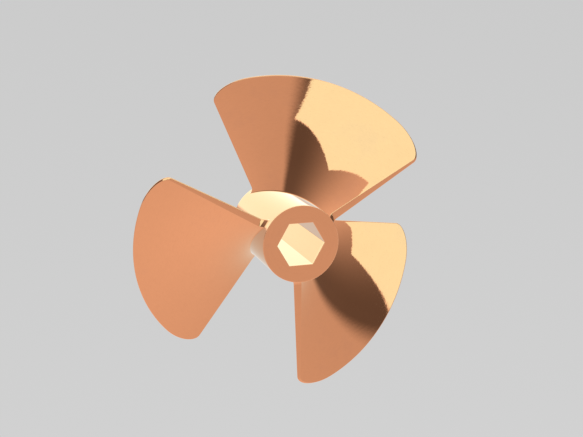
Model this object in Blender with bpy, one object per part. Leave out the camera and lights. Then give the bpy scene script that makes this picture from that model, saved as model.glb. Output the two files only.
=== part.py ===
"""Three-bladed ship propeller: a plain round hub with a hexagonal bore and three fan-shaped
twisted blades of left-handed constant pitch. Lengths are in metres. The shaft axis is +Z,
pointing out of the face shown in the photograph, and the origin is the centre of the hub.
The hexagon has two corners on the X axis and the first blade starts on the +Y axis.

A blade is a radial bar carried along the shaft axis while it turns: at every height z its
section is a bar standing at the azimuth middle(z). Its two end faces are therefore flat and
square to the shaft. All its edges and its outer corners are rounded. At the hub the two ends
flare out along the shaft in a wide concave curve and the faces have a tight fillet."""
import bpy
import math
import numpy as np

# hub
HUB_RADIUS = 0.0750          # round outside of the hub
HUB_LENGTH = 0.2140          # from the rear face to the front face
HUB_EDGE = 0.0006            # rounding of the two outer rims
HEX_ACROSS_FLATS = 0.0815    # driving bore, open through the whole hub

# blades
BLADES = 3
TIP_RADIUS = 0.3050          # outer rim of the blades
LEAD_AZIMUTH = 90.0          # middle of the leading end face of the first blade, degrees
PITCH = 0.7000               # advance of the blade surface in one full turn
BLADE_DEPTH = 0.1660         # along the shaft, from the leading end face to the trailing one
ROOT_WIDTH = 0.0172          # size of the end face round the shaft, at the hub
TIP_WIDTH = 0.0116           # the same at the outer rim
EDGE_ROUND = 0.0016          # rounding of all edges
CORNER_ROUND = 0.0290        # rounding of the two outer corners, seen from the side
FACE_FILLET = 0.0022         # concave fillet between the blade's faces and the hub
END_FLARE = 0.0130           # concave flare of the two ends where they meet the hub
GAP = 0.0003                 # clearance between the blade's foot and the hub

# mesh density
HUB_SEGMENTS = 96            # divisible by six so that the bore's corners fall on vertices
RIM_STEPS = 3                # steps round each rounded rim of the hub
CHORD_CELLS = 30             # one blade, from end to end
FLARE_ROWS = 5               # one blade, from the hub outwards
PLATE_ROWS = 8
CORNER_ROWS = 8
ROUND_STEPS = 3              # steps round each edge of a blade

K = PITCH / (2 * math.pi)    # advance per radian
BRONZE = (0.60, 0.255, 0.125, 1.0)


def clear_scene():
    for thing in list(bpy.data.objects):
        bpy.data.objects.remove(thing, do_unlink=True)


def bronze(name):
    """Material of one sub-part: satin copper-coloured bronze."""
    material = bpy.data.materials.new(name)
    material.use_nodes = True
    shader = material.node_tree.nodes["Principled BSDF"]
    shader.inputs["Base Color"].default_value = BRONZE
    shader.inputs["Metallic"].default_value = 0.75
    shader.inputs["Roughness"].default_value = 0.42
    material.diffuse_color = BRONZE
    return material


def add_object(name, points, faces, sharp_angle):
    """Makes one named mesh object with its own material, shaded smooth up to an angle."""
    mesh = bpy.data.meshes.new(name)
    mesh.from_pydata(points.tolist(), [], faces)
    mesh.shade_smooth()
    mesh.set_sharp_from_angle(angle=math.radians(sharp_angle))
    mesh.materials.append(bronze(name + "_bronze"))
    thing = bpy.data.objects.new(name, mesh)
    bpy.context.scene.collection.objects.link(thing)
    return thing


def cylindrical(radius, azimuth, height):
    radius, azimuth, height = np.broadcast_arrays(radius, azimuth, height)
    return np.stack([radius * np.cos(azimuth), radius * np.sin(azimuth), height], -1)


def hexagon_radius(azimuth):
    """Distance of the bore's wall from the axis; the corners lie at 0, 60, 120 degrees and so on."""
    from_flat = azimuth % (math.pi / 3) - math.pi / 6
    return HEX_ACROSS_FLATS / 2 / np.cos(from_flat)


def make_hub():
    """Closed ring whose section runs from the rear bore edge round the outside to the front one."""
    azimuth = 2 * math.pi * np.arange(HUB_SEGMENTS) / HUB_SEGMENTS
    half = HUB_LENGTH / 2
    flat_radius = HUB_RADIUS - HUB_EDGE
    turn = np.linspace(0, math.pi / 2, RIM_STEPS + 1)
    rear = [(flat_radius + HUB_EDGE * math.sin(a), -half + HUB_EDGE * (1 - math.cos(a))) for a in turn]
    front = [(radius, -z) for radius, z in reversed(rear)]
    rings = [cylindrical(hexagon_radius(azimuth), azimuth, -half)]
    rings += [cylindrical(radius, azimuth, z) for radius, z in rear + front]
    rings.append(cylindrical(hexagon_radius(azimuth), azimuth, half))
    index = np.arange(len(rings) * HUB_SEGMENTS).reshape(len(rings), HUB_SEGMENTS)
    across = np.roll(index, -1, axis=0)
    around = np.roll(index, -1, axis=1)
    opposite = np.roll(across, -1, axis=1)
    quads = np.stack([index, around, opposite, across], -1).reshape(-1, 4)
    return add_object("hub", np.concatenate(rings), quads.tolist(), 35)


def concave(radius, size):
    """Growth towards the hub along a quarter circle: 0 above size, size at the hub's wall."""
    below = np.clip((HUB_RADIUS + size - radius) / size, 0, 1)
    return size * (1 - np.sqrt(1 - below ** 2))


def sheet_frame(cells):
    """Radius and height of the blade's inner sheet, drawn in from the outline by EDGE_ROUND and
    flared at the hub. The grid runs from the hub to the rim (rows) and from the leading end to
    the trailing end (columns)."""
    foot = HUB_RADIUS + GAP
    flare_top = HUB_RADIUS + END_FLARE
    corner = CORNER_ROUND - EDGE_ROUND
    corner_start = TIP_RADIUS - CORNER_ROUND
    turn = np.linspace(0, math.pi / 2, FLARE_ROWS + 1)[:-1]
    flared = foot + (flare_top - foot) * (1 - np.cos(turn))
    plate = np.linspace(flare_top, corner_start, PLATE_ROWS + 1)[:-1]
    turn = np.linspace(0, math.pi / 2, CORNER_ROWS + 1)
    radius = np.concatenate([flared, plate, corner_start + corner * np.sin(turn)])[:, None]
    past = np.clip((radius - corner_start) / corner, 0, 1)
    drawn_in = EDGE_ROUND + corner * (1 - np.sqrt(1 - past ** 2))
    reach = BLADE_DEPTH / 2 - drawn_in + concave(radius, END_FLARE)
    height = reach * np.linspace(1, -1, cells + 1)
    return radius, height


def middle_azimuth(height):
    """Azimuth of the blade's middle. Between the two ends it follows the pitch, and in the flare
    beyond them the turning dies away evenly until it stops at the end of the flare."""
    beyond = np.maximum(np.abs(height) - BLADE_DEPTH / 2, 0)
    slack = np.sign(height) * beyond ** 2 / (2 * END_FLARE)
    return math.radians(LEAD_AZIMUTH) + (BLADE_DEPTH / 2 - height + slack) / K


def blade_layers():
    """Points of one blade as layers through its thickness, from the back sheet to the front sheet.
    Every layer is a grid like the inner sheet. The ends and the rim are swept from one sheet to
    the other by a direction that turns from the back normal to outwards to the front normal."""
    radius, height = sheet_frame(CHORD_CELLS)
    helix = np.hypot(radius, K)
    middle = middle_azimuth(height)
    width = ROOT_WIDTH + (TIP_WIDTH - ROOT_WIDTH) * (radius - HUB_RADIUS) / (TIP_RADIUS - HUB_RADIUS)
    half_inner = width / 2 - EDGE_ROUND * helix / K
    size = EDGE_ROUND + concave(radius, FACE_FILLET)
    # unit normal of the front sheet, as components round the shaft, along it and away from it
    normal = np.stack(np.broadcast_arrays(K / helix, radius / helix, 0.0), -1)
    rows, cols = height.shape
    # direction in which the outline faces: along the shaft at the ends, outwards at the rim
    past = np.clip((radius - TIP_RADIUS + CORNER_ROUND) / (CORNER_ROUND - EDGE_ROUND), 0, 1)
    end_side = np.where(np.arange(cols) < cols / 2, 1.0, -1.0)
    end_way = np.stack(np.broadcast_arrays(0.0, end_side * np.sqrt(1 - past ** 2), past), -1)
    end_way[-1] = (0.0, 0.0, 1.0)
    layers = []
    for side in (-1, 1):
        start, stop = (0.0, 1.0) if side < 0 else (1.0, 0.0)
        for share in np.linspace(start, stop, ROUND_STEPS + 1):
            away = end_way - side * normal * (end_way * side * normal).sum(-1, keepdims=True)
            away /= np.maximum(np.linalg.norm(away, axis=-1, keepdims=True), 1e-9)
            angle = share * np.arccos(np.clip((end_way * side * normal).sum(-1, keepdims=True), -1, 1))
            way = side * normal * np.cos(angle) + away * np.sin(angle)
            r = radius + size * way[..., 2]
            azimuth = middle + (side * half_inner + size * way[..., 0]) / radius
            layers.append(cylindrical(r, azimuth, height + size * way[..., 1]))
    return np.stack(layers)


def foot_rows(layers):
    """Fills the first row of every layer evenly between the back and the front sheet, in
    cylindrical coordinates so that the foot follows the hub."""
    back, front = layers[0, 0], layers[-1, 0]
    count = len(layers)
    azimuth = np.unwrap(np.arctan2([back[:, 1], front[:, 1]], [back[:, 0], front[:, 0]]), axis=0)
    for number in range(1, count - 1):
        share = number / (count - 1)
        inner = slice(1, -1)
        turn = azimuth[0] + (azimuth[1] - azimuth[0]) * share
        z = back[:, 2] + (front[:, 2] - back[:, 2]) * share
        layers[number, 0, inner] = cylindrical(HUB_RADIUS + GAP, turn, z)[inner]
    return layers


def make_blade(number):
    """One blade as a closed shell of grids: back and front sheets, foot, rim and two ends."""
    layers = foot_rows(blade_layers())
    kept = np.zeros(layers.shape[:3], bool)
    kept[[0, -1]] = True
    kept[:, [0, -1]] = True
    kept[:, :, [0, -1]] = True
    index = np.full(kept.shape, -1)
    index[kept] = np.arange(kept.sum())
    faces = []
    for grid, turned in ((index[0], False), (index[-1], True),
                         (index[:, 0], True), (index[:, -1], False),
                         (index[:, :, 0], False), (index[:, :, -1], True)):
        quads = np.stack([grid[:-1, :-1], grid[:-1, 1:], grid[1:, 1:], grid[1:, :-1]], -1)
        quads = quads.reshape(-1, 4)
        faces += (quads[:, ::-1] if turned else quads).tolist()
    blade = add_object("blade_%d" % number, layers[kept], faces, 40)
    blade.rotation_euler.z = -2 * math.pi * (number - 1) / BLADES
    return blade


clear_scene()
make_hub()
for blade_number in range(1, BLADES + 1):
    make_blade(blade_number)
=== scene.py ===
# %% [markdown]
# A three-bladed bronze ship propeller
#
# The object is a plain round hub with a hexagonal bore and three fan-shaped blades, cast in one
# piece and then dressed: the hub is turned on a lathe, the bore is broached and the blades are
# ground smooth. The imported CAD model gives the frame, and each of its four solids is replaced
# here by a finer surface in the same place. Lengths are in metres, +Z is the shaft axis.

import math

import bpy
import numpy as np
from mathutils import Matrix, Vector


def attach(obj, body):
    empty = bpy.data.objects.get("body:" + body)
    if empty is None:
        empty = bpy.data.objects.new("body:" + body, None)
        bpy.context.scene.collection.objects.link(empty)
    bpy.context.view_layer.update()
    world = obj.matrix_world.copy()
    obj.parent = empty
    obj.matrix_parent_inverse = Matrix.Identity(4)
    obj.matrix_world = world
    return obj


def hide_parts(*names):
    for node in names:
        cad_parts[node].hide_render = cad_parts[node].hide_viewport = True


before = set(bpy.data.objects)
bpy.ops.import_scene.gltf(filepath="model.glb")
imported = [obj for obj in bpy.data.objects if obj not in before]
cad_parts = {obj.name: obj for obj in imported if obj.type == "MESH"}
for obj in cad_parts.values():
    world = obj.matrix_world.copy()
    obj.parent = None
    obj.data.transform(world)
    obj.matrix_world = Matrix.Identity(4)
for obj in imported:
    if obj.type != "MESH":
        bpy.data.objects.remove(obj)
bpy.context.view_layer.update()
print("CAD nodes:", sorted(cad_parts))

# %% [markdown]
# Camera
#
# The viewpoint was found from the outlines of the three blades and of the hub: the lens looks
# down on the front face from about 68 degrees above the plane of the blades, and is rolled so
# that the blade that starts on the Y axis points up in the picture. The camera could be aimed by
# a constraint, but a matrix also holds the roll. A camera looks along its own -Z axis, so the
# rotation matrix has the columns right, up and backwards.

# %% Camera at the viewing angle of the photograph
PICTURE_WIDTH = 583                 # pixels
FOCAL_LENGTH = 1073.74              # pixels, from the fitted viewpoint
SENSOR = 36.0                       # millimetres
CAMERA_PLACE = Vector((-0.75582, -0.27687, 1.96811))
LOOK = Vector((0.349163, 0.142270, -0.926199)).normalized()
UP = Vector((-0.806594, 0.548726, -0.219786)).normalized()

camera_data = bpy.data.cameras.new("camera")
camera_data.sensor_fit = "HORIZONTAL"
camera_data.sensor_width = SENSOR
camera_data.lens = FOCAL_LENGTH * SENSOR / PICTURE_WIDTH
camera = bpy.data.objects.new("camera", camera_data)
right = LOOK.cross(UP)
turn = Matrix((right, right.cross(LOOK), -LOOK)).transposed()
camera.matrix_world = Matrix.Translation(CAMERA_PLACE) @ turn.to_4x4()
bpy.context.scene.collection.objects.link(camera)
bpy.context.scene.camera = camera
print("lens %.2f mm, %.3f m from the hub" % (camera_data.lens, CAMERA_PLACE.length))

# %% [markdown]
# Small helpers for meshes
#
# Every surface below is a grid of points worked out by numpy. A grid becomes a skin of
# four-cornered faces by joining each point with its neighbours in both directions. The arrays go
# into the mesh whole, which is much quicker than adding vertices one by one.

# %% Helpers: quads of a grid, points on a cylinder, a finished piece
SHARP_ANGLE = math.radians(40)      # a bend sharper than this stays an edge in the shading


def quads_of(index, turned=False):
    """Faces of a grid of point numbers: each point, its neighbour in the next column, the one
    diagonally opposite and its neighbour in the next row. turned reverses their direction."""
    quads = np.stack([index[:-1, :-1], index[:-1, 1:], index[1:, 1:], index[1:, :-1]], -1)
    quads = quads.reshape(-1, 4)
    return quads[:, ::-1] if turned else quads


def cylindrical(radius, azimuth, height):
    """x = radius times cosine of azimuth, y = radius times sine of azimuth, z = height."""
    radius, azimuth, height = np.broadcast_arrays(radius, azimuth, height)
    return np.stack([radius * np.cos(azimuth), radius * np.sin(azimuth), height], -1)


def make_piece(name, node, points, quads, finish, edge):
    """A mesh object at the origin from points (n, 3) and quads (m, 4). finish gives each face its
    material number and edge gives each point its nearness to a worn edge, from 0 to 1."""
    mesh = bpy.data.meshes.new(name)
    mesh.vertices.add(len(points))
    mesh.vertices.foreach_set("co", points.astype(np.float32).ravel())
    mesh.loops.add(quads.size)
    mesh.loops.foreach_set("vertex_index", quads.astype(np.int32).ravel())
    mesh.polygons.add(len(quads))
    mesh.polygons.foreach_set("loop_start", np.arange(0, quads.size, 4, dtype=np.int32))
    mesh.polygons.foreach_set("material_index", finish.astype(np.int32))
    worn = mesh.attributes.new("edge", "FLOAT", "POINT")
    worn.data.foreach_set("value", edge.astype(np.float32))
    mesh.update(calc_edges=True)
    mesh.validate()
    mesh.shade_smooth()
    mesh.set_sharp_from_angle(angle=SHARP_ANGLE)
    piece = bpy.data.objects.new(name, mesh)
    bpy.context.scene.collection.objects.link(piece)
    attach(piece, "root")
    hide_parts(node)
    print("%s: %d points, %d faces" % (name, len(points), len(quads)))
    return piece


# %% [markdown]
# Hub
#
# The real hub is a stout round boss, turned outside and on both faces after casting, with the
# rims only just broken by a fine file. The hexagonal bore that takes the driving shaft is
# broached, so its flats are straight along the shaft and its corners are nearly sharp. It could
# be a cylinder with a boolean cut, but that leaves long thin faces round the hexagon. Here one
# closed profile is carried round the axis instead, and on its way from the outer wall to the
# bore each ring changes from a circle to the hexagon.

# %% Outline of the hexagonal bore
HUB_RADIUS = 0.0750
HUB_LENGTH = 0.2140
HUB_ROUNDING = 0.0006               # outer rims
ACROSS_FLATS = 0.0815
BORE_CORNER = 0.0006                # the broach leaves this radius in the corners
MOUTH_BREAK = 0.0004                # deburred edge at the bore's mouths
FLAT_CELLS = 60
CORNER_CELLS = 12


def hexagon():
    """Closed outline of the bore. Each side is a straight run at the distance of half the width
    across flats, and each corner is a 60 degree arc whose centre lies on the line from the axis
    to that corner."""
    half_flat = ACROSS_FLATS / 2
    corner = BORE_CORNER
    reach = (half_flat - corner) * math.tan(math.pi / 6)
    along = np.linspace(-reach, reach, FLAT_CELLS + 1)[:-1]
    flat = np.stack([np.full(FLAT_CELLS, half_flat), along], -1)
    bend = np.linspace(0, math.pi / 3, CORNER_CELLS + 1)[:-1]
    arc = np.stack([half_flat - corner + corner * np.cos(bend), reach + corner * np.sin(bend)], -1)
    side = np.concatenate([flat, arc])
    angle = math.pi / 6 + np.arange(6)[:, None] * math.pi / 3
    x = side[:, 0] * np.cos(angle) - side[:, 1] * np.sin(angle)
    y = side[:, 0] * np.sin(angle) + side[:, 1] * np.cos(angle)
    return np.stack([x.ravel(), y.ravel()], -1)


outline = hexagon()
AROUND = len(outline)
print("bore: %d points round, %.2f mm across corners" % (AROUND, 2e3 * np.hypot(*outline.T).max()))

# %% [markdown]
# Profile of the hub
#
# The profile starts in the middle of the bore, runs up its wall, over the deburred mouth, across
# the front face, round the rim, down the outer wall and back along the rear in the same way. Each
# row of the grid has a share of hexagon and of circle, a height, and the finish of its faces.

# %% Rows of the profile
BORE_RINGS = 24
FACE_RINGS = 14
WALL_RINGS = 24
ROUND_RINGS = 8
TURNED, WALL, BROACHED = 0, 1, 2
MOUTH_NEARNESS = (0.15, 0.4, 0.8)   # nearness to an edge of the bore's last rings
RIM_SHARE = 1 / 8                   # outer part of the face that is near the rim
RIM_REACH = 0.003                   # stretch of the wall that is near the rim


def hub_rows():
    """Rows of the front half as columns: growth of the hexagon, share of circle, the circle's
    radius, height, finish, nearness to an edge. Both roundings are quarter circles: the radius
    grows with the sine of an even angle and the height falls with 1 minus its cosine."""
    half = HUB_LENGTH / 2
    mouth = half - MOUTH_BREAK
    flat_radius = HUB_RADIUS - HUB_ROUNDING
    quarter = np.linspace(0, math.pi / 2, ROUND_RINGS + 1)
    rows = []

    def add_rows(grown, share, radius, height, finish, edge):
        block = np.broadcast_arrays(grown, share, radius, height, finish, edge)
        rows.append(np.stack([np.ravel(part).astype(float) for part in block], -1))

    add_rows(0, 0, 0, np.linspace(0, mouth, BORE_RINGS + 1)[:-1], BROACHED, 0)
    rows[-1][-len(MOUTH_NEARNESS):, -1] = MOUTH_NEARNESS
    break_height = mouth + MOUTH_BREAK * np.sin(quarter)
    add_rows(MOUTH_BREAK * (1 - np.cos(quarter)), 0, 0, break_height, TURNED, 1)
    share = np.linspace(0, 1, FACE_RINGS + 1)[1:]
    near_rim = np.clip(1 - (1 - share) / RIM_SHARE, 0, 1) ** 2
    add_rows(MOUTH_BREAK, share, flat_radius, half, TURNED, near_rim)
    rim_radius = flat_radius + HUB_ROUNDING * np.sin(quarter[1:])
    rim_height = half - HUB_ROUNDING * (1 - np.cos(quarter[1:]))
    add_rows(0, 1, rim_radius, rim_height, WALL, 1)
    rim_foot = half - HUB_ROUNDING
    down = np.linspace(rim_foot, 0, WALL_RINGS + 1)[1:]
    add_rows(0, 1, HUB_RADIUS, down, WALL, np.clip(1 - (rim_foot - down) / RIM_REACH, 0, 1))
    return np.concatenate(rows)


front_rows = hub_rows()
print("hub profile: %d rows in the front half" % len(front_rows))

# %% Skin of the hub


def hub_surface(front):
    """Point = (1 - share) times the hexagon's point + share times the circle's point, at the
    row's height. The rear half is the front half with the height changed in sign and the order
    reversed. Gives the points as (row, column, 3), then each row's height, finish and edge."""
    rear = front[-2:0:-1] * (1, 1, 1, -1, 1, 1)
    grown, share, radius, height, finish, edge = np.concatenate([front, rear]).T[..., None]
    # the circle's points start above the hexagon's own and are evenly spaced on the rim
    hexagon_azimuth = np.unwrap(np.arctan2(outline[:, 1], outline[:, 0]))
    even = hexagon_azimuth[0] + 2 * math.pi * np.arange(AROUND) / AROUND
    points = cylindrical(radius, hexagon_azimuth + (even - hexagon_azimuth) * share, height)
    inner = outline * (1 + grown / (ACROSS_FLATS / 2))[..., None]
    share = share[..., None]
    points[..., :2] = inner * (1 - share) + points[..., :2] * share
    return points, height[:, 0], finish[:, 0], edge[:, 0]


hub_points, row_height, row_finish, row_edge = hub_surface(front_rows)
index = np.arange(len(hub_points) * AROUND).reshape(-1, AROUND)
# one more row and column join the last ones to the first
hub_quads = quads_of(np.pad(index, ((0, 1), (0, 1)), mode="wrap"), True)
# a face has the finish of the row it ends on, read on the half where that row lies
on_front = np.roll(row_height, -1) + row_height >= 0
face_finish = np.where(on_front, np.roll(row_finish, -1), row_finish)
hub = make_piece("propeller_hub", "hub", hub_points.reshape(-1, 3), hub_quads,
                 np.repeat(face_finish, AROUND), np.repeat(row_edge, AROUND))

# %% [markdown]
# Blades
#
# A propeller blade of constant pitch is the surface that a radial line sweeps when it turns at
# an even rate while it moves along the shaft. This one turns left-handed and advances 700 mm in
# a full turn. Its section at every height is a bar that thins towards the tip, and both ends are
# cut square to the shaft, so the leading end shows as a narrow flat band. All edges are rounded,
# the two outer corners are rounded in a larger radius. At the root the two ends flare out along
# the shaft in a wide concave curve and the faces run into the hub in a tight fillet.
# A bar bent by modifiers would not keep the pitch true, so the helicoid is written as a formula.

# %% Dimensions of a blade
BLADES = 3
TIP_RADIUS = 0.3050
LEAD_AZIMUTH = math.pi / 2          # middle of the first blade's leading end
PITCH = 0.7000
BLADE_DEPTH = 0.1660                # along the shaft
ROOT_WIDTH = 0.0172                 # of the end faces, round the shaft
TIP_WIDTH = 0.0116
EDGE_ROUND = 0.0016
CORNER_ROUND = 0.0290
FACE_FILLET = 0.0022                # between the faces and the hub
END_FLARE = 0.0130                  # of the two ends, along the shaft
FOOT_RADIUS = HUB_RADIUS - 0.0002   # the root dips just under the hub's wall
ADVANCE = PITCH / (2 * math.pi)     # metres along the shaft for one radian
sweep = math.degrees(BLADE_DEPTH / ADVANCE)
print("advance %.1f mm a radian, sweep %.1f degrees" % (1e3 * ADVANCE, sweep))

# %% [markdown]
# Inner sheet of a blade
#
# The blade is built round a thin inner sheet that is drawn in from every edge by the edge
# radius. From each point of the sheet the skin stands off by that radius, in a direction that
# turns from the back of the blade over the edge to the front, which rounds all edges evenly. Near
# the hub the stand-off grows along a quarter circle, and that is the fillet. The sheet itself
# grows longer there in the same way, and that is the flare.

# %% Radius and height of the sheet
CHORD_CELLS = 150
FLARE_ROWS, PLATE_ROWS, CORNER_ROWS = 20, 42, 16


def concave(radius, size):
    """Growth towards the hub along a quarter circle, from 0 at the distance size from the hub's
    wall to size at the wall: size * (1 - sqrt(1 - below ** 2))."""
    below = np.clip((HUB_RADIUS + size - radius) / size, 0, 1)
    return size * (1 - np.sqrt(1 - below ** 2))


def inner_sheet():
    """Radius (rows, 1), height (rows, columns) and share of the rounded corner (rows, 1). The
    rows crowd in the flare and in the corner, where radius = start + corner radius times the
    sine of an even angle and the sheet is drawn in by the corner radius times 1 minus cosine."""
    flare_top = HUB_RADIUS + END_FLARE
    corner = CORNER_ROUND - EDGE_ROUND
    corner_start = TIP_RADIUS - CORNER_ROUND
    bend = np.linspace(0, math.pi / 2, FLARE_ROWS + 1)[:-1]
    flared = FOOT_RADIUS + (flare_top - FOOT_RADIUS) * (1 - np.cos(bend))
    plate = np.linspace(flare_top, corner_start, PLATE_ROWS + 1)[:-1]
    bend = np.linspace(0, math.pi / 2, CORNER_ROWS + 1)
    radius = np.concatenate([flared, plate, corner_start + corner * np.sin(bend)])[:, None]
    past = np.clip((radius - corner_start) / corner, 0, 1)
    drawn_in = EDGE_ROUND + corner * (1 - np.sqrt(1 - past ** 2))
    reach = BLADE_DEPTH / 2 - drawn_in + concave(radius, END_FLARE)
    return radius, reach * np.linspace(1, -1, CHORD_CELLS + 1), past


sheet = inner_sheet()
print("inner sheet: radius %.4f to %.4f m" % (sheet[0].min(), sheet[0].max()))

# %% Skin of a blade
ROUND_STEPS = 7
TINY = 1e-9                         # keeps a division from being one by zero


def middle_azimuth(height):
    """Azimuth of the blade's middle: it follows the pitch between the two ends, and in the flare
    beyond them the turning dies away evenly until it stops at the end of the flare."""
    beyond = np.maximum(np.abs(height) - BLADE_DEPTH / 2, 0)
    slack = np.sign(height) * beyond ** 2 / (2 * END_FLARE)
    return LEAD_AZIMUTH + (BLADE_DEPTH / 2 - height + slack) / ADVANCE


def there_and_back():
    """One share for each layer: 0 to 1 for the back, from the sheet to the edge, then 1 to 0."""
    share = np.linspace(0, 1, ROUND_STEPS + 1)
    return np.concatenate([share, share[::-1]])


def blade_layers(radius, height, past):
    """Points as (layer, row, column, 3). A layer is one direction of the stand-off: the first is
    the back, the last is the front. The normal of the front is (advance, radius, 0) divided by
    the helix length, in the directions round the shaft, along it and away from it."""
    helix = np.hypot(radius, ADVANCE)
    middle = middle_azimuth(height)
    share_out = (radius - HUB_RADIUS) / (TIP_RADIUS - HUB_RADIUS)
    width = ROOT_WIDTH + (TIP_WIDTH - ROOT_WIDTH) * share_out
    half_inner = width / 2 - EDGE_ROUND * helix / ADVANCE
    stand_off = EDGE_ROUND + concave(radius, FACE_FILLET)
    normal = np.stack(np.broadcast_arrays(ADVANCE / helix, radius / helix, 0.0), -1)
    # outwards is along the shaft at the two ends and away from it at the rim
    end_side = np.where(np.arange(CHORD_CELLS + 1) < (CHORD_CELLS + 1) / 2, 1.0, -1.0)
    outwards = np.stack(np.broadcast_arrays(0.0, end_side * np.sqrt(1 - past ** 2), past), -1)
    outwards[-1] = (0.0, 0.0, 1.0)
    # the way of each layer turns from the sheet's normal to outwards by its share
    share = there_and_back()[:, None, None, None]
    side = np.repeat([-1.0, 1.0], ROUND_STEPS + 1)[:, None, None, None]
    facing = side * normal
    cosine = (outwards * facing).sum(-1, keepdims=True)
    away = outwards - facing * cosine
    away /= np.maximum(np.linalg.norm(away, axis=-1, keepdims=True), TINY)
    bend = share * np.arccos(np.clip(cosine, -1, 1))
    way = facing * np.cos(bend) + away * np.sin(bend)
    azimuth = middle + (side[..., 0] * half_inner + stand_off * way[..., 0]) / radius
    return cylindrical(radius + stand_off * way[..., 2], azimuth, height + stand_off * way[..., 1])


def foot_filled(layers):
    """The first row of every layer, spread evenly between the back and the front sheet. Azimuth
    and height are mixed by the layer's share, so that the foot follows the hub's wall."""
    back, front = layers[0, 0], layers[-1, 0]
    share = np.linspace(0, 1, len(layers))[1:-1, None]
    azimuth = np.unwrap(np.arctan2([back[:, 1], front[:, 1]], [back[:, 0], front[:, 0]]), axis=0)
    height = back[:, 2] + (front[:, 2] - back[:, 2]) * share
    filled = cylindrical(FOOT_RADIUS, azimuth[0] + (azimuth[1] - azimuth[0]) * share, height)
    layers[1:-1, 0, 1:-1] = filled[:, 1:-1]
    return layers


layers = foot_filled(blade_layers(*sheet))
print("grid of one blade: %d layers, %d rows, %d columns" % layers.shape[:3])

# %% [markdown]
# Three blades from one shell
#
# Only the six outer sides of that block of points are kept: the back and front sheets, the foot,
# the rim and the two ends. The same closed shell, turned by a third of a turn, gives each blade.
# Copies of one mesh could be turned as objects instead, but then their patterns would be alike.

# %% The six sides as one closed shell
kept = np.zeros(layers.shape[:3], bool)
kept[[0, -1]] = True
kept[:, [0, -1]] = True
kept[:, :, [0, -1]] = True
number = np.full(kept.shape, -1)
number[kept] = np.arange(kept.sum())
blade_quads = np.concatenate([
    quads_of(number[0]), quads_of(number[-1], True),
    quads_of(number[:, 0], True), quads_of(number[:, -1]),
    quads_of(number[:, :, 0]), quads_of(number[:, :, -1], True)])
print("%d of %d points kept, %d faces" % (kept.sum(), kept.size, len(blade_quads)))

# %% Nearness to an edge
BESIDE_EDGE = 0.3                   # nearness on the flats where a rounding begins
FADE_CELLS = 2.0                    # cells over which it dies away on the flats


def blade_edges(layer_count, row_count, column_count):
    """1 in the middle of each rounding, falling to BESIDE_EDGE where it begins, times e to the
    power of minus the cells from the nearest end or rim over FADE_CELLS. 0 at the foot."""
    rounding = there_and_back()[:, None, None]
    columns = np.arange(column_count)
    from_end = np.minimum(columns, columns[::-1])[None, None]
    from_rim = np.arange(row_count)[::-1][None, :, None]
    across = np.where(rounding > 0, 1 - (1 - BESIDE_EDGE) * np.abs(2 * rounding - 1), BESIDE_EDGE)
    nearness = across * np.exp(-np.minimum(from_end, from_rim) / FADE_CELLS)
    nearness[:, 0] = 0.0
    return nearness


blade_edge = blade_edges(*kept.shape)[kept]
print("%d points near an edge" % (blade_edge > BESIDE_EDGE / 2).sum())

# %% Three blades


def make_blade(which):
    """The shell of the first blade, turned about the shaft by minus which thirds of a turn."""
    angle = -2 * math.pi * which / BLADES
    spin = np.array([[math.cos(angle), -math.sin(angle), 0],
                     [math.sin(angle), math.cos(angle), 0],
                     [0, 0, 1]])
    return make_piece("propeller_blade_%d" % (which + 1), "blade_%d" % (which + 1),
                      layers[kept] @ spin.T, blade_quads, np.zeros(len(blade_quads)), blade_edge)


blades = [make_blade(which) for which in range(BLADES)]

# %% [markdown]
# A small language for node trees
#
# A material, a node group and the world are all trees of nodes. They could be built by hand in
# the Shader Editor, but then no one could read them here. The helpers below write into whichever
# of them the name tree stands for, so a formula in nodes reads almost like plain code.

# %% Helpers that add nodes to the current tree
tree = None


def join(value, socket):
    """Links an output to a socket, or sets the socket to a plain value."""
    if isinstance(value, bpy.types.NodeSocket):
        tree.links.new(value, socket)
    else:
        socket.default_value = value


def add(kind, values=(), **settings):
    """A node of that kind, with its settings, and its inputs joined by name or number."""
    node = tree.nodes.new("ShaderNode" + kind)
    for name, value in settings.items():
        setattr(node, name, value)
    for name, value in dict(values).items():
        join(value, node.inputs[name])
    return node


def maths(operation, *values):
    """Output of a Math node. A value is a plain number or the output of another node."""
    return add("Math", enumerate(values), operation=operation).outputs[0]


def step(value, low, high, start=0.0, stop=1.0):
    """Smooth step of a value: start below low, stop above high, an S curve between."""
    ends = {"Value": value, "From Min": low, "From Max": high, "To Min": start, "To Max": stop}
    return add("MapRange", ends, interpolation_type="SMOOTHSTEP").outputs[0]


def blend(factor, first, second):
    """(1 - factor) * first + factor * second."""
    return maths("ADD", maths("MULTIPLY", maths("SUBTRACT", 1.0, factor), first),
                 maths("MULTIPLY", factor, second))


def swing(value, size):
    """(value - one half) * size: a pattern from 0 to 1 made to swing about 0."""
    return maths("MULTIPLY", maths("SUBTRACT", value, 0.5), size)


def dot(vector, way):
    """Dot product of an output and a fixed direction."""
    return add("VectorMath", {0: vector, 1: way}, operation="DOT_PRODUCT").outputs["Value"]


def paint(factor, first, second, how="MIX"):
    """Colour mixed from first to second by the factor. how names another way to combine them."""
    ends = {0: factor, 6: first, 7: second}
    return add("Mix", ends, data_type="RGBA", blend_type=how).outputs[2]


def noise(vector, scale=1.0, detail=2.0):
    """Soft noise from 0 to 1, about one bump in each 1 / scale. detail adds finer layers."""
    return add("TexNoise", {"Vector": vector, "Scale": scale, "Detail": detail}).outputs["Fac"]


# %% Helpers that make and place a node group


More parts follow.
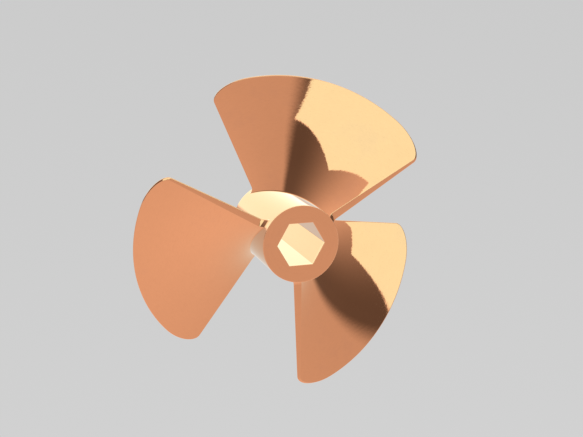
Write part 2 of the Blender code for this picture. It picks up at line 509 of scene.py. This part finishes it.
def start_group(name, inputs, outputs):
    """An empty group with named sockets, given as name and type. It becomes the current tree.
    Returns the group, its inner inputs and the sockets that take its outputs."""
    global tree
    tree = bpy.data.node_groups.new(name, "ShaderNodeTree")
    for way, sockets in (("INPUT", inputs), ("OUTPUT", outputs)):
        for title, kind in sockets.items():
            tree.interface.new_socket(title, in_out=way, socket_type="NodeSocket" + kind)
    given = tree.nodes.new("NodeGroupInput").outputs
    return tree, given, tree.nodes.new("NodeGroupOutput").inputs


def place(group, **values):
    """The group as one node of the current tree, with its inputs joined. Returns its outputs."""
    node = tree.nodes.new("ShaderNodeGroup")
    node.node_tree = group
    for name, value in values.items():
        join(value, node.inputs[name])
    return node.outputs


# %% [markdown]
# Effects that the bronze finishes share
#
# A finished bronze casting is never one even colour. The alloy tarnishes in soft clouds, each
# tool leaves its own fine lines, a few tiny pores of the casting stay open, and the edges are
# rubbed brighter in handling. Photographs of metal could be wrapped round the pieces, but they
# blur close up and show a seam. Each effect here is one node group of noise instead, and each
# finish below places the groups with its own values. Every pattern is given a point in Object
# coordinates, which are metres on these pieces.

# %% Group: radius, azimuth and height about the shaft
shaft_place, given, result = start_group(
    "shaft_place", {"Point": "Vector"}, {"Radius": "Float", "Azimuth": "Float", "Height": "Float"})
axes = add("SeparateXYZ", {0: given["Point"]}).outputs
square = maths("ADD", maths("MULTIPLY", axes["X"], axes["X"]), maths("MULTIPLY", axes["Y"], axes["Y"]))
join(maths("SQRT", square), result["Radius"])
join(maths("ARCTAN2", axes["Y"], axes["X"]), result["Azimuth"])
join(axes["Z"], result["Height"])
print("shaft_place: %d nodes" % len(tree.nodes))

# %% Group: soft clouds of tarnish
# Tone is a brightness factor about 1, Film is where the brown film is thickest, and Swell is the
# slight waviness that hand grinding leaves.
SMALL_CLOUD = 1 / 5                 # size of the small clouds, as a share of the wide ones
WIDE_WEIGHT, SMALL_WEIGHT = 1.3, 0.7
FILM_START, FILM_FULL = 0.78, 1.05  # on wide cloud + half of small cloud

tarnish, given, result = start_group(
    "tarnish", {"Point": "Vector", "Patch": "Float", "Depth": "Float", "Wave": "Float"},
    {"Tone": "Float", "Film": "Float", "Swell": "Float"})
wide = noise(given["Point"], maths("DIVIDE", 1.0, given["Patch"]), detail=3.0)
small = noise(given["Point"], maths("DIVIDE", 1.0 / SMALL_CLOUD, given["Patch"]), detail=4.0)
both = maths("ADD", maths("MULTIPLY", wide, WIDE_WEIGHT), maths("MULTIPLY", small, SMALL_WEIGHT))
spread = maths("MULTIPLY", maths("SUBTRACT", both, 1.0), given["Depth"])
film = maths("ADD", wide, maths("MULTIPLY", small, 0.5))
join(maths("ADD", spread, 1.0), result["Tone"])
join(step(film, FILM_START, FILM_FULL), result["Film"])
join(noise(given["Point"], maths("DIVIDE", 1.0, given["Wave"]), detail=1.0), result["Swell"])
print("tarnish: %d nodes" % len(tree.nodes))

# %% Group: fine parallel lines of a tool
# Noise that changes every Pitch across the lines and only every Length along them.
BAND_LINES = 9.0                    # a band is this many lines wide

tool_lines, given, result = start_group(
    "tool_lines", {"Along": "Vector", "Across": "Float", "Pitch": "Float", "Length": "Float"},
    {"Line": "Float", "Band": "Float"})
slow = add("SeparateXYZ", {0: given["Along"]}).outputs
slow_x = maths("DIVIDE", slow["X"], given["Length"])
slow_y = maths("DIVIDE", slow["Y"], given["Length"])
quick = maths("DIVIDE", given["Across"], given["Pitch"])
fine = add("CombineXYZ", {0: slow_x, 1: slow_y, 2: quick}).outputs[0]
broad = add("CombineXYZ", {0: slow_x, 1: slow_y, 2: maths("DIVIDE", quick, BAND_LINES)}).outputs[0]
join(noise(fine, detail=3.0), result["Line"])
join(noise(broad, detail=2.0), result["Band"])
print("tool_lines: %d nodes" % len(tree.nodes))

# %% Group: open pores of the casting
# Each cell of a Voronoi pattern may hold one pore: a small dark dip round the cell's point.
SMALLEST_PORE, LARGEST_PORE = 0.4, 1.2      # radius, as shares of Size
PORE_BOTTOM = 0.5                   # share of a pore's radius that is its flat bottom

open_pores, given, result = start_group(
    "open_pores", {"Point": "Vector", "Spacing": "Float", "Size": "Float", "Share": "Float"},
    {"Pore": "Float"})
cell = add("TexVoronoi", {"Vector": given["Point"], "Scale": maths("DIVIDE", 1.0, given["Spacing"])})
draw = add("SeparateColor", {0: cell.outputs["Color"]}).outputs
chosen = maths("LESS_THAN", draw["Red"], given["Share"])
reach = maths("MULTIPLY", given["Size"], blend(draw["Green"], SMALLEST_PORE, LARGEST_PORE))
near = maths("DIVIDE", cell.outputs["Distance"], maths("DIVIDE", reach, given["Spacing"]))
join(maths("MULTIPLY", chosen, step(near, PORE_BOTTOM, 1.0, 1.0, 0.0)), result["Pore"])
print("open_pores: %d nodes" % len(tree.nodes))

# %% Group: edges rubbed bright
# The mesh attribute edge rises to 1 in the middle of each rounding. Noise breaks its border up.
RAGGED = 0.9                        # how far the noise moves the border
BORDER_FADE = 0.35                  # width of the border, on the attribute's scale

rubbed_edge, given, result = start_group(
    "rubbed_edge", {"Point": "Vector", "Grain": "Float", "Reach": "Float"}, {"Rubbed": "Float"})
nearness = add("Attribute", attribute_name="edge").outputs["Fac"]
uneven = noise(given["Point"], maths("DIVIDE", 1.0, given["Grain"]), detail=4.0)
edge_sum = maths("ADD", nearness, swing(uneven, RAGGED))
low_end = maths("SUBTRACT", 1.0, given["Reach"])
join(step(maths("SUBTRACT", edge_sum, low_end), 0.0, BORDER_FADE), result["Rubbed"])
print("rubbed_edge: %d nodes" % len(tree.nodes))

# %% [markdown]
# The bronze finishes
#
# Copper-rich propeller bronze is polished nearly to a mirror: the room shows in it with crisp
# borders. One plain material could serve all pieces, but then the tools' marks would be missing
# close up. Here all finishes share the alloy's colour and differ in their lines. The faces of the
# hub have the rings of a lathe tool, its wall has finer rings at even heights, the bore has the
# long straight lines of a broach, and the blades have short strokes of the grinder.

# %% Colour of a finish
ALLOY = (0.610, 0.254, 0.125, 1.0)
TARNISHED = (0.520, 0.222, 0.120, 1.0)
RUBBED = (0.680, 0.300, 0.158, 1.0)
PORE = (0.300, 0.135, 0.080, 1.0)
LINE_TONE, BAND_TONE = 0.10, 0.06   # how far lines and bands change the brightness
FILM_SHARE, RUBBED_SHARE = 0.30, 0.70


def finish_colour(cloud, tool, pore, rubbed):
    """Alloy mixed with tarnish by the film, times the tone of clouds, lines and bands, then
    mixed with the rubbed colour at the edges and with the pores' colour in the pores."""
    line_tone = maths("ADD", swing(tool["Line"], LINE_TONE), swing(tool["Band"], BAND_TONE))
    tone = maths("ADD", cloud["Tone"], line_tone)
    colour = paint(maths("MULTIPLY", cloud["Film"], FILM_SHARE), ALLOY, TARNISHED)
    colour = paint(1.0, colour, tone, "MULTIPLY")
    colour = paint(maths("MULTIPLY", rubbed, RUBBED_SHARE), colour, RUBBED)
    return paint(pore, colour, PORE)


# %% Roughness and relief of a finish
POLISH = 0.025                      # roughness of the plain polished metal
FILM_DULL, BAND_DULL = 0.020, 0.020
PORE_DULL = 0.25
RUBBED_SHINE = 0.012
PORE_DEPTH = 4.0e-5
RELIEF_UNIT = 1.0e-4                # the Bump node takes its heights in this unit, 0.1 mm


def finish_roughness(cloud, tool, pore, rubbed):
    """Polish + film, band and pore each times its dulling - rubbed edge times its shine."""
    dull = maths("ADD", maths("MULTIPLY", cloud["Film"], FILM_DULL),
                 maths("MULTIPLY", tool["Band"], BAND_DULL))
    rough = maths("ADD", maths("ADD", dull, POLISH), maths("MULTIPLY", pore, PORE_DULL))
    return maths("SUBTRACT", rough, maths("MULTIPLY", rubbed, RUBBED_SHINE))


def finish_relief(cloud, tool, pore, swell, line_depth):
    """Normal from the height: swell of the ground surface + line times its depth - pore times
    its depth, all in metres."""
    height = maths("ADD", maths("MULTIPLY", cloud["Swell"], swell),
                   maths("MULTIPLY", tool["Line"], line_depth))
    height = maths("SUBTRACT", height, maths("MULTIPLY", pore, PORE_DEPTH))
    height = maths("DIVIDE", height, RELIEF_UNIT)
    return add("Bump", {"Height": height, "Distance": RELIEF_UNIT, "Strength": 1.0}).outputs["Normal"]


# %% Which way a tool's lines run


def round_shaft(point, at):
    """Lines round the shaft at an even radius: rings on a turned face, strokes on a blade."""
    return point, at["Radius"]


def round_wall(point, at):
    """Rings round the wall at an even height."""
    return point, at["Height"]


def down_bore(point, at):
    """Straight lines along the shaft. Across is azimuth times radius, whose only break, where
    the azimuth starts again, lies in a corner of the hexagon."""
    along = add("CombineXYZ", {0: at["Height"]}).outputs[0]
    return along, maths("MULTIPLY", at["Azimuth"], at["Radius"])


# %% One finish from the shared effects
PORE_SPACING = 0.009
PORE_SHARE = 0.35                   # share of the places that hold a pore
EDGE_GRAIN = 0.004                  # size of the notches in a rubbed border
GRAZING_TINT = (1.0, 1.0, 0.88, 1.0)        # the metal is a little warmer at grazing angles


def bronze(name, lines, *, pitch, length, line_depth, patch, depth, wave, swell, pore_size, reach):
    """A bronze finish. lines gives the vector along a tool's lines and the value across them.
    pitch, length, patch, wave and pore_size are sizes in metres; line_depth and swell are heights
    in metres; depth is the share by which the tone varies; reach widens the rubbed edges."""
    global tree
    material = bpy.data.materials.new(name)
    material.use_nodes = True
    tree = material.node_tree
    shader = tree.nodes["Principled BSDF"].inputs
    point = add("TexCoord").outputs["Object"]
    along, across = lines(point, place(shaft_place, Point=point))
    cloud = place(tarnish, Point=point, Patch=patch, Depth=depth, Wave=wave)
    tool = place(tool_lines, Along=along, Across=across, Pitch=pitch, Length=length)
    pore = place(open_pores, Point=point, Spacing=PORE_SPACING, Size=pore_size, Share=PORE_SHARE)
    pore = pore["Pore"]
    rubbed = place(rubbed_edge, Point=point, Grain=EDGE_GRAIN, Reach=reach)["Rubbed"]
    join(finish_colour(cloud, tool, pore, rubbed), shader["Base Color"])
    join(finish_roughness(cloud, tool, pore, rubbed), shader["Roughness"])
    join(finish_relief(cloud, tool, pore, swell, line_depth), shader["Normal"])
    shader["Metallic"].default_value = 1.0
    shader["Specular Tint"].default_value = GRAZING_TINT
    print("%s: %d nodes" % (name, len(tree.nodes)))
    return material


# %% Turned, broached and ground bronze
turned = bronze("turned_bronze", round_shaft, pitch=0.00025, length=0.030, line_depth=1.2e-6,
                patch=0.060, depth=0.030, wave=0.011, swell=2.0e-6, pore_size=0.00020, reach=0.50)
wall = bronze("wall_bronze", round_wall, pitch=0.00018, length=0.040, line_depth=0.9e-6,
              patch=0.070, depth=0.030, wave=0.012, swell=2.0e-6, pore_size=0.00025, reach=0.50)
broached = bronze("broached_bronze", down_bore, pitch=0.00030, length=0.120, line_depth=1.6e-6,
                  patch=0.040, depth=0.035, wave=0.015, swell=2.0e-6, pore_size=0.00015, reach=0.60)
ground = bronze("ground_bronze", round_shaft, pitch=0.00035, length=0.008, line_depth=1.5e-6,
                patch=0.085, depth=0.045, wave=0.0060, swell=2.2e-5, pore_size=0.00030, reach=0.55)

# %% Materials on the pieces
# The hub's come in the order of the numbers TURNED, WALL and BROACHED.
for material in (turned, wall, broached):
    hub.data.materials.append(material)
for blade in blades:
    blade.data.materials.append(ground)
print("hub:", [material.name for material in hub.data.materials])

# %% [markdown]
# Reflections
#
# Two mirrors that face each other show each other. The photograph shows each surface reflecting
# the empty room alone, so the pieces are left out of each other's mirror images.

# %% Reflections show the room only
for piece in (hub, *blades):
    piece.visible_glossy = False
print("%d pieces left out of reflections" % (1 + len(blades)))

# %% [markdown]
# Floor and backdrop
#
# The ground is a plain pale cyclorama: a level floor at the hub's rear face that curves up into
# a wall far behind the camera. A lit floor would show the propeller's shadow and its glow would
# colour the metal. This one glows evenly by itself and only the camera sees it, so it shows no
# shadow, as the pale ground of the photograph shows none.

# %% Floor that curves up into a wall
FLOOR_RADIUS = 7.0
BEND_RADIUS = 2.0
WALL_TOP = 8.0                      # above the floor
FLOOR_DROP = 0.0005                 # just under the hub's rear face
BEND_STEPS = 16
FLOOR_COLUMNS = 96


def cyclorama():
    """Surface of revolution: the profile runs along the floor, up a quarter circle and up the
    wall. Point = (distance times cosine, distance times sine, height)."""
    quarter = np.linspace(0, math.pi / 2, BEND_STEPS + 1)
    bent_out = FLOOR_RADIUS + BEND_RADIUS * np.sin(quarter)
    bent_up = BEND_RADIUS * (1 - np.cos(quarter))
    distance = np.concatenate([[0.0], bent_out, [FLOOR_RADIUS + BEND_RADIUS]])[:, None]
    height = np.concatenate([[0.0], bent_up, [WALL_TOP]])[:, None] - HUB_LENGTH / 2 - FLOOR_DROP
    azimuth = 2 * math.pi * np.arange(FLOOR_COLUMNS) / FLOOR_COLUMNS
    points = cylindrical(distance, azimuth, height)
    index = np.arange(len(points) * FLOOR_COLUMNS).reshape(-1, FLOOR_COLUMNS)
    return points.reshape(-1, 3), quads_of(np.pad(index, ((0, 0), (0, 1)), mode="wrap"), True)


floor_points, floor_quads = cyclorama()
floor_mesh = bpy.data.meshes.new("floor")
floor_mesh.from_pydata(floor_points.tolist(), [], floor_quads.tolist())
floor_mesh.shade_smooth()
floor = bpy.data.objects.new("floor", floor_mesh)
bpy.context.scene.collection.objects.link(floor)
floor.visible_diffuse = False
floor.visible_glossy = False
floor.visible_transmission = False
floor.visible_shadow = False
print("floor: %d faces" % len(floor_quads))

# %% Pale even glow of the floor
FADE_WAY = (-0.827, 0.563, 0.0)     # the floor darkens a little this way
FADE_REACH = 0.6                    # metres on each side of the hub
PALE, DIMMER = 0.643, 0.594

pale = bpy.data.materials.new("pale_floor")
pale.use_nodes = True
tree = pale.node_tree
tree.nodes.clear()
fade = dot(add("TexCoord").outputs["Object"], FADE_WAY)
ends = {"Value": fade, "From Min": -FADE_REACH, "From Max": FADE_REACH, "To Min": PALE, "To Max": DIMMER}
grey = add("MapRange", ends).outputs[0]
glow = add("Emission", {"Color": add("CombineColor", {0: grey, 1: grey, 2: grey}).outputs[0]})
join(glow.outputs[0], add("OutputMaterial").inputs["Surface"])
floor.data.materials.append(pale)
bpy.context.scene.view_settings.view_transform = "Standard"
print("pale_floor: %d nodes" % len(tree.nodes))

# %% [markdown]
# Studio light
#
# Polished metal shows the room round it, so most of the look is decided by the room. Lamps and
# cards could light it, but each would end in a hard rectangle in the mirror. Here the room is a
# plain studio tent, written as the world's brightness in each direction, so that every border
# can be curved and soft. The half of the room round KEY_AZIMUTH is the key side. It has a large
# overhead panel with a scalloped lower border, a dark gap below the panel that brightens towards
# the key, and a bright sheet low down. The other half is an even pale tent with one broad soft
# lobe near the horizon. All angles below are in degrees.

# %% Direction in the room, measured from the key
KEY_AZIMUTH = 149.7

world = bpy.data.worlds.new("studio")
bpy.context.scene.world = world
world.use_nodes = True
tree = world.node_tree
tree.nodes.clear()
way = add("TexCoord").outputs["Generated"]
axes = add("SeparateXYZ", {0: way}).outputs
azimuth = maths("DEGREES", maths("ARCTAN2", axes["Y"], axes["X"]))
elevation = maths("DEGREES", maths("ARCSINE", axes["Z"]))
from_key = maths("WRAP", maths("SUBTRACT", azimuth, KEY_AZIMUTH), 180.0, -180.0)
beside = maths("ABSOLUTE", from_key)
print("key side from %.1f to %.1f degrees" % (KEY_AZIMUTH - 90, KEY_AZIMUTH + 90))

# %% Even tent with a soft lobe just above the horizon, opposite the key
TENT_LIGHT = 0.977
LOBE_LIGHT = 0.337                  # added in the lobe's middle
LOBE_ELEVATION = 8.4
LOBE_POWER = 2.3                    # of the cosine of the angle from its middle


def direction(azimuth, elevation):
    """(cosine of elevation * cosine of azimuth, the same * sine of azimuth, sine of elevation)."""
    azimuth, elevation = math.radians(azimuth), math.radians(elevation)
    level = math.cos(elevation)
    return level * math.cos(azimuth), level * math.sin(azimuth), math.sin(elevation)


lobe = maths("MAXIMUM", dot(way, direction(KEY_AZIMUTH + 180, LOBE_ELEVATION)), 0.0)
lobe = maths("MULTIPLY", maths("POWER", lobe, LOBE_POWER), LOBE_LIGHT)
tent = maths("ADD", lobe, TENT_LIGHT)
print("tent from %.2f to %.2f" % (TENT_LIGHT, TENT_LIGHT + LOBE_LIGHT))

# %% Dark gap beside the key
GAP_BRIGHT, GAP_DARK = 1.203, 0.194         # at the key and beside it
FALL_START, FALL_STOP = 8.5, 82.0           # beside the key
HORIZON_GAIN = 1.147                        # the gap is brighter by this at the horizon ...
GAIN_TOP = 45.0                             # ... and as it is from this elevation up

gap = maths("MULTIPLY", step(beside, FALL_START, FALL_STOP, GAP_BRIGHT, GAP_DARK),
            step(elevation, 0.0, GAIN_TOP, HORIZON_GAIN, 1.0))
print("gap from %.2f to %.2f" % (GAP_DARK, GAP_BRIGHT * HORIZON_GAIN))

# %% Soft edge between the gap and the tent
# It lies near a right angle from the key and widens overhead, first outwards and then inwards.
EDGE_STOP_LOW, EDGE_STOP_HIGH = 93.4, 96.4
STOP_WIDENS = (20.0, 50.0)          # elevations between which it does
EDGE_START_LOW, EDGE_START_HIGH = 86.2, 80.0
START_WIDENS = (50.0, 72.0)

edge_stop = step(elevation, *STOP_WIDENS, EDGE_STOP_LOW, EDGE_STOP_HIGH)
edge_start = step(elevation, *START_WIDENS, EDGE_START_LOW, EDGE_START_HIGH)
edge_width = maths("SUBTRACT", edge_stop, edge_start)
share = maths("DIVIDE", maths("SUBTRACT", beside, edge_start), edge_width)
room = blend(step(share, 0.0, 1.0), gap, tent)
print("edge %.1f degrees wide at the horizon" % (EDGE_STOP_LOW - EDGE_START_LOW))

# %% Scalloped lower border of the overhead panel
# Of each pair, the first value is for the second blade's side of the key and the other value is
# for the first blade's side, where the border lies higher.
SIDES_MEET = 12.0                   # the sides pass into each other this far about the key
KEY_ARCH, SIDE_ARCH = 18.5, 87.5    # beside the key, the middles of the two arches of a side
KEY_ARCH_TOP, SIDE_ARCH_TOP = (33.1, 46.8), (41.5, 55.35)
KEY_ARCH_BEND, SIDE_ARCH_BEND = (0.0052, 0.0085), (0.0150, 0.0125)
SAG_START = -37.5                   # from here towards the key, the second blade's side sags
SAG = 0.60                          # by this for each degree


def by_side(pair):
    """The pair's first value on one side of the key and its other on the other, smooth between."""
    return step(from_key, -SIDES_MEET, SIDES_MEET, *pair)


def arch(middle, top, bend):
    """Elevation of an arch: top - bend times the square of the angle from its middle."""
    away = maths("SUBTRACT", beside, middle)
    drop = maths("MULTIPLY", maths("MULTIPLY", away, away), by_side(bend))
    return maths("SUBTRACT", by_side(top), drop)


sag = maths("MULTIPLY", maths("MAXIMUM", maths("SUBTRACT", from_key, SAG_START), 0.0), SAG)
sag = maths("MULTIPLY", sag, step(from_key, -SIDES_MEET, 0.0, 1.0, 0.0))
key_arch = maths("SUBTRACT", arch(KEY_ARCH, KEY_ARCH_TOP, KEY_ARCH_BEND), sag)
border = maths("MAXIMUM", key_arch, arch(SIDE_ARCH, SIDE_ARCH_TOP, SIDE_ARCH_BEND))
print("border up to %.1f and %.1f degrees high" % SIDE_ARCH_TOP)

# %% The panel with its two ends and its flap
PANEL_LIGHT = 2.77
PANEL_END = 89.75                   # beside the key
END_LEAN = 0.57                     # the ends lean in by this for each degree above the side arch
BORDER_SOFT, END_SOFT = 0.4, 0.5
FLAP_END, FLAP_FOOT = 15.0, 39.0    # a flap hangs lower beside the key, on the first blade's side
FLAP_SOFT = 1.0


def soft(value, width):
    """0 below minus width, 1 above width."""
    return step(value, -width, width)


higher = maths("MAXIMUM", maths("SUBTRACT", elevation, by_side(SIDE_ARCH_TOP)), 0.0)
end = maths("SUBTRACT", PANEL_END, maths("MULTIPLY", higher, END_LEAN))
panel = maths("MULTIPLY", soft(maths("SUBTRACT", elevation, border), BORDER_SOFT),
              soft(maths("SUBTRACT", end, beside), END_SOFT))
flap = maths("MULTIPLY", step(from_key, FLAP_END - BORDER_SOFT, FLAP_END + BORDER_SOFT, 1.0, 0.0),
             step(elevation, FLAP_FOOT - FLAP_SOFT, FLAP_FOOT + FLAP_SOFT))
flap = maths("MULTIPLY", flap, step(from_key, -SIDES_MEET, 0.0))
room = blend(maths("MAXIMUM", panel, flap), room, PANEL_LIGHT)
print("panel at %.2f, %.0f degrees wide" % (PANEL_LIGHT, 2 * PANEL_END))

# %% Floor and the bright sheet low on the key side
FLOOR_LIGHT, SHEET_LIGHT = 0.85, 2.4
FLOOR_TOP = (-63.0, -56.0)          # elevations between which the floor ends
SHEET_TOP = (-32.0, -26.0)          # the same of the sheet
SHEET_SIDE = (70.0, 84.0)           # beside the key

room = blend(step(elevation, *FLOOR_TOP), FLOOR_LIGHT, room)
on_sheet = maths("MULTIPLY", step(beside, *SHEET_SIDE, 1.0, 0.0),
                 step(elevation, *SHEET_TOP, 1.0, 0.0))
room = blend(on_sheet, room, SHEET_LIGHT)
print("floor at %.2f, sheet at %.2f" % (FLOOR_LIGHT, SHEET_LIGHT))

# %% The world's colour
# The brightest light is a little cool, so that its red ends at full tone on the reddish metal.
RED_LIMIT = 1.66

colour = add("CombineColor", {"Red": maths("MINIMUM", room, RED_LIMIT), "Green": room, "Blue": room})
background = add("Background", {"Color": colour.outputs[0]})
join(background.outputs[0], add("OutputWorld").inputs["Surface"])
print("studio: %d nodes" % len(tree.nodes))
